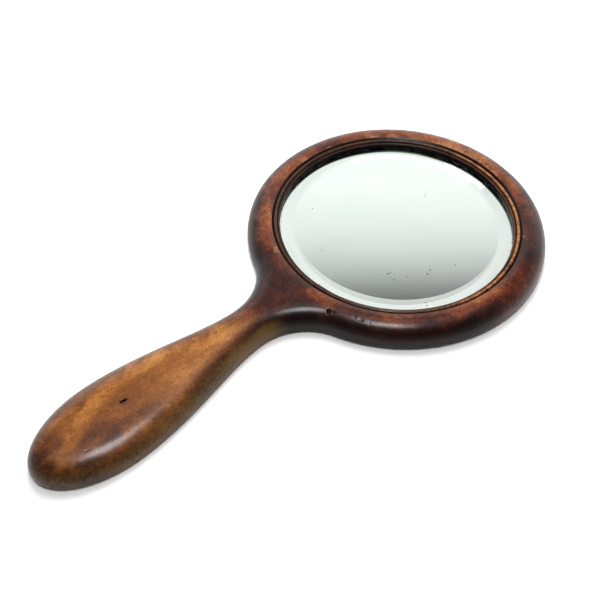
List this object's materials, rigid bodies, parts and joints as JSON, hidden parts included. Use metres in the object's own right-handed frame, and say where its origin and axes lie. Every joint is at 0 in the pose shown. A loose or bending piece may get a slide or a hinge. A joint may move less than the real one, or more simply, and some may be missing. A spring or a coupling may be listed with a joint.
{
  "type": "hand mirror",
  "caption": "Round bevelled looking glass held by a split bead ring in a one-piece turned and carved wooden frame with a paddle-shaped handle.",
  "frame": {"origin": "centre of the flat back, under the middle of the round glass", "axes": "+Z out of the looking face, handle along -Y, X across the frame"},
  "size_m": [0.1584, 0.2972, 0.012],
  "materials": {
    "varnished_wood": "worn glossy varnish over red-brown stained wood, lighter amber on the grip",
    "stained_bead": "dark stained bent wood, rubbed bright on its crest",
    "plate_glass": "polished plate with a polished bevel, faintly green",
    "silver_layer": "silvered, with a few small dark specks",
    "protective_paint": "matt red-brown protective paint",
    "packing_card": "grey-brown pulp card",
    "brad_steel": "dulled steel"
  },
  "bodies": {
    "root": {"body": "varnished_wood", "retaining_ring": "stained_bead", "mirror_glass": "plate_glass", "silvering": "silver_layer", "backing_paint": "protective_paint", "backing_card": "packing_card", "ring_brads": "brad_steel"}
  },
  "joints": []
}
